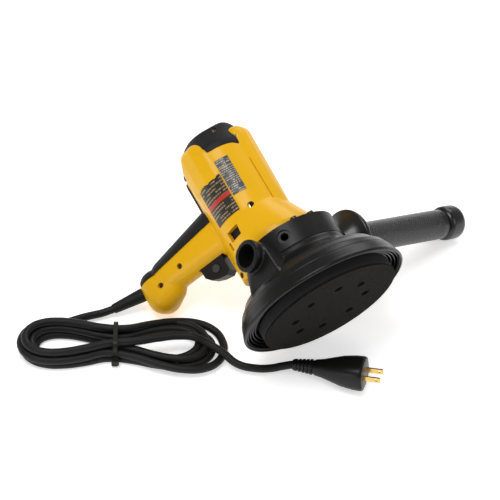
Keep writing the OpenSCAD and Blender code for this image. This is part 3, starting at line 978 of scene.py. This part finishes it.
    def sleeve(self) -> None:
        """The soft sleeve over the back of the grip and up the rear spine."""
        skin = fuse("grip_sleeve_shell", [self.grip(1.5), self.foot(0.7)], 1.2, 5)
        under = hull([Vector(p) for p in (
            (-200, -60, 40), (-200, 60, 40), (0, -60, 40), (0, 60, 40), (-200, -60, 141),
            (-200, 60, 141), (0, -60, 156), (0, 60, 156))])
        ahead = box_shape((-58, -60, 0), (60, 60, 300))
        behind = hull([Vector(p) for p in ((-260, -60, 100), (-260, 60, 100), (-170, -60, 100),
                                           (-170, 60, 100), (-260, -60, 260), (-260, 60, 260),
                                           (-160, -60, 260), (-160, 60, 260))])
        carve(skin, [under, ahead, behind])
        settle(skin, self.axes.matrix)
        dress(skin, self.finishes.rubber, 50)
        present(skin, "tool", ("grip_sleeve",))
        strip = fuse("rear_strip_shell", [self.barrel(1.3, 150, self.cap_z - 1)], 1.2, 4)
        keep_out = [box_shape((-56, -80, 100), (80, 80, 300)),
                    box_shape((-100, 11, 100), (0, 80, 300)),
                    box_shape((-100, -80, 100), (0, -11, 300))]
        carve(strip, keep_out)
        settle(strip, self.axes.matrix)
        dress(strip, self.finishes.rubber, 50)
        present(strip, "tool", ("rear_strip",))

    def build(self) -> None:
        """Builds every piece of the housing."""
        self.shells()
        self.cap()
        self.sleeve()


# ---------------------------------------------------------------- shroud, pad, handle

@dataclass
class Shroud:
    """The dust shroud with its rings, duct and port."""

    axes: ToolAxes
    finishes: Finishes
    rim_r: float = 93.0
    rim_z: float = 9.0
    port_z: float = 56.4
    port_len: float = 78.0
    bore: float = 12.25

    def wall(self, thin: float) -> list[tuple[float, float]]:
        """Outline of the bowl, thinner by a given amount."""
        r, z = self.rim_r, self.rim_z
        top = [(51.9, 61.9), (53, 54), (60, 49), (r - 20, 41.5), (r - 17, 41), (r - 15, 38),
               (r - 8, 31), (r - 3.5, 22), (r - 1.2, 15), (r - 1.0, 13.6), (r, 12.6), (r, z)]
        return [(p[0] - thin, p[1] - thin * 0.9) for p in top]

    def build(self) -> None:
        """Builds the shroud as one moulding with its rings."""
        u = Vector((-0.24, -0.94, 0.22)).normalized()
        outer = lathe([(0, self.rim_z)] + self.wall(0)[::-1] + [(0, 61.9)], 160)
        tube_at = aimed(Vector((0, 0, self.port_z)) + u * 52, u)
        tube = hull(disc((0, 0, 0), self.bore + 4, 48)
                    + disc((0, 0, self.port_len - 52), self.bore + 4, 48))
        tube.transform(tube_at)
        lip = hull(disc((0, 0, self.port_len - 57), self.bore + 5, 48)
                   + disc((0, 0, self.port_len - 52), self.bore + 4.6, 48))
        lip.transform(tube_at)
        flank = hull(disc((0, 0, 0), self.bore + 4, 32) + disc((0, 0, 14), self.bore + 4, 32))
        flank.transform(tube_at)
        turn = math.atan2(u.y, u.x) + math.radians(4)
        feet = [Matrix.Rotation(turn, 3, "Z") @ Vector(p)
                for p in ((54, -22, 30), (79, -22, 30), (54, 22, 30), (79, 22, 30), (54, -22, 38),
                          (79, -22, 38), (54, 22, 38), (79, 22, 38))]
        block = hull([v.co.copy() for v in flank.verts] + feet)
        flank.free()
        body = fuse("shroud_moulding", [outer, tube, lip, block], 1.1, 3)
        hollow = lathe([(0, -5), (self.rim_r - 2.2, -5)] + self.wall(2.4)[::-1] + [(0, 59.6)], 160)
        bore = hull(disc((0, 0, 8), self.bore, 48) + disc((0, 0, 80), self.bore, 48))
        bore.transform(tube_at)
        neck = hull(disc((0, 0, 61.9), 52.05, 96) + disc((0, 0, 120), 52.05, 96))
        carve(body, [hollow, bore, neck])
        rings = []
        for k in range(4):
            r = self.rim_r - 4.2 - 3.4 * k
            rings.append(lathe([(r, 24), (r, 11.5 + 1.1 * k), (r - 1.1, 11.0 + 1.1 * k),
                                (r - 1.7, 24)], 160, True))
        whole = bmesh.new()
        whole.from_mesh(body.data)
        for ring in rings:
            mesh = bpy.data.meshes.new("ring")
            ring.to_mesh(mesh)
            ring.free()
            whole.from_mesh(mesh)
            bpy.data.meshes.remove(mesh)
        thing = from_bmesh("dust_shroud", whole, self.axes.matrix)
        bpy.data.objects.remove(body)
        dress(thing, self.finishes.satin, 40)
        present(thing, "tool", ("shroud",))


@dataclass
class Pad:
    """The hook face with its fringe and the foam pad under it."""

    axes: ToolAxes
    finishes: Finishes
    radius: float = 76.0
    orbit: float = 2.4
    circle: float = 42.0
    hole: float = 4.6

    def layer(self, name: str, low: float, high: float, edge: float) -> bpy.types.Object:
        """A round layer with its dust holes."""
        shape = lathe([(0, low), (self.radius - edge, low), (self.radius, low + edge),
                       (self.radius, high - edge), (self.radius - edge, high), (0, high)], 160)
        thing = from_bmesh(name, shape)
        holes = []
        for k in range(8):
            a = math.pi * k / 4
            x, y = self.circle * math.cos(a), self.circle * math.sin(a)
            holes.append(hull(disc((x, y, low - 2), self.hole, 32)
                              + disc((x, y, high + 2), self.hole, 32)))
        carve(thing, holes)
        settle(thing, self.axes.matrix @ Matrix.Translation((self.orbit, 0, 0)))
        return thing

    def fringe(self) -> bpy.types.Object:
        """Short stray hooks round the edge and over the face."""
        rand = random.Random(5)
        shape = bmesh.new()

        def spike(root: Vector, way: Vector, length: float) -> None:
            """Adds one thin hook."""
            side = way.cross(Vector((0.3, 0.5, 0.8))).normalized() * 0.12
            a, b = shape.verts.new(root + side), shape.verts.new(root - side)
            c = shape.verts.new(root + side.cross(way) * 0.9)
            tip = shape.verts.new(root + way * length)
            for trio in ((a, b, tip), (b, c, tip), (c, a, tip)):
                shape.faces.new(trio)

        for _ in range(1500):
            a = rand.uniform(0, 2 * math.pi)
            out = Vector((math.cos(a), math.sin(a), 0))
            way = (out + Vector((rand.uniform(-0.4, 0.4), rand.uniform(-0.4, 0.4),
                                 rand.uniform(-0.9, 0.3)))).normalized()
            spike(out * (self.radius - 0.2) + Vector((0, 0, rand.uniform(0.1, 1.8))), way,
                  rand.uniform(0.6, 1.6))
        for _ in range(6000):
            r = self.radius * math.sqrt(rand.random()) * 0.995
            a = rand.uniform(0, 2 * math.pi)
            near = min(math.hypot(r * math.cos(a) - self.circle * math.cos(math.pi * k / 4),
                                  r * math.sin(a) - self.circle * math.sin(math.pi * k / 4))
                       for k in range(8))
            if near < self.hole + 0.4:
                continue
            way = Vector((rand.uniform(-0.7, 0.7), rand.uniform(-0.7, 0.7), -1)).normalized()
            spike(Vector((r * math.cos(a), r * math.sin(a), 0.1)), way, rand.uniform(0.5, 0.9))
        return from_bmesh("hook_fringe", shape,
                          self.axes.matrix @ Matrix.Translation((self.orbit, 0, 0)))

    def build(self) -> None:
        """Builds the pad's soft layers."""
        face = self.layer("hook_face_disc", 0.0, 2.0, 0.3)
        dress(face, self.finishes.hook, 40)
        present(face, "pad", ("hook_face",))
        foam = self.layer("foam_pad", 2.0, 15.0, 1.6)
        dress(foam, self.finishes.foam, 40)
        present(foam, "pad", ("pad_foam",))
        fringe = self.fringe()
        dress(fringe, self.finishes.hook)
        present(fringe, "pad")


@dataclass
class SideHandle:
    """The side handle: guard, knurled grip and knob."""

    axes: ToolAxes
    finishes: Finishes
    height: float = 74.3
    reach: float = 243.0
    knob_r: float = 19.0
    grip_r: float = 16.5

    def build(self) -> None:
        """Builds the handle in one turned piece."""
        frame = self.axes.along_handle(self.height)
        end = self.reach + 13
        profile = [(0, 66), (13, 66), (15, 68), (19, 73), (27, 78.5), (31.6, 80), (33, 81),
                   (33.2, 83), (32.4, 85), (30, 86), (24, 87), (20, 88.5), (17.6, 92),
                   (self.grip_r, 97),
                   (self.grip_r, self.reach - 24), (self.grip_r - 0.5, self.reach - 18),
                   (self.grip_r - 0.3, self.reach - 15)]
        for step in range(7):
            a = math.radians(-90 + 15 * step)
            profile.append((self.knob_r - 6 + 6 * math.cos(a), self.reach - 7 + 6 * math.sin(a)))
        for step in range(7):
            a = math.radians(15 * step)
            profile.append((self.knob_r - 8 + 8 * math.cos(a), end - 8 + 8 * math.sin(a)))
        profile.append((0, end))
        thing = from_bmesh("side_handle", lathe(profile, 96), frame)
        axis = frame.col[2].to_3d().normalized()
        side = frame.col[0].to_3d().normalized()
        up = frame.col[1].to_3d().normalized()
        knurl = Knurl("knurled_grip", tuple(axis), tuple(side), tuple(up),
                      tuple(frame.translation), 100 * MM, (self.reach - 22) * MM).build()
        dress(thing, knurl, 50)
        present(thing, "tool", ("handle_grip",))


@dataclass
class SmallParts:
    """Finishes for the CAD pieces that are shown as they are."""

    axes: ToolAxes
    finishes: Finishes

    def build(self, frame: dict) -> None:
        """Dresses every CAD node by its slot, and the plates with print.
        """
        zero = self.axes.z.dot(self.axes.origin)
        across, upward = tuple(self.axes.x), tuple(self.axes.z)
        rating = Plate("rating_print", across, upward, 3.6 * MM, zero + 152 * MM, zero + 157 * MM,
                       (0.45, 0.33, 0.16), (0.5, 0.03, 0.015)).build()
        guide = Plate("guide_print", across, upward, 2.4 * MM, zero + 181 * MM, zero + 182 * MM,
                      (0.5, 0.45, 0.36), (0.4, 0.3, 0.1)).build()
        for part in frame["record"]["subparts"]:
            thing = frame["nodes"][part["node"]]
            dress(thing, self.finishes.for_slot(part["material_slot"]), 35)
        dress(frame["nodes"]["rating_plate"], rating)
        dress(frame["nodes"]["guide_plate"], guide)


def main() -> None:
    """Builds the whole scene."""
    logging.basicConfig(level=logging.INFO)
    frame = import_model()
    studio = Studio()
    studio.camera()
    axes = ToolAxes(frame["record"]["mounts"])
    finishes = Finishes(axes)
    SmallParts(axes, finishes).build(frame)
    cord = PowerCord(finishes)
    line = cord.build()
    plug, tie = cord.plug(), cord.tie()
    round(cord.measure(line), 3)
    Housing(axes, finishes).build()
    Shroud(axes, finishes).build()
    Pad(axes, finishes).build()
    SideHandle(axes, finishes).build()
    studio.lights()
    studio.table()


if __name__ == "__main__":
    main()
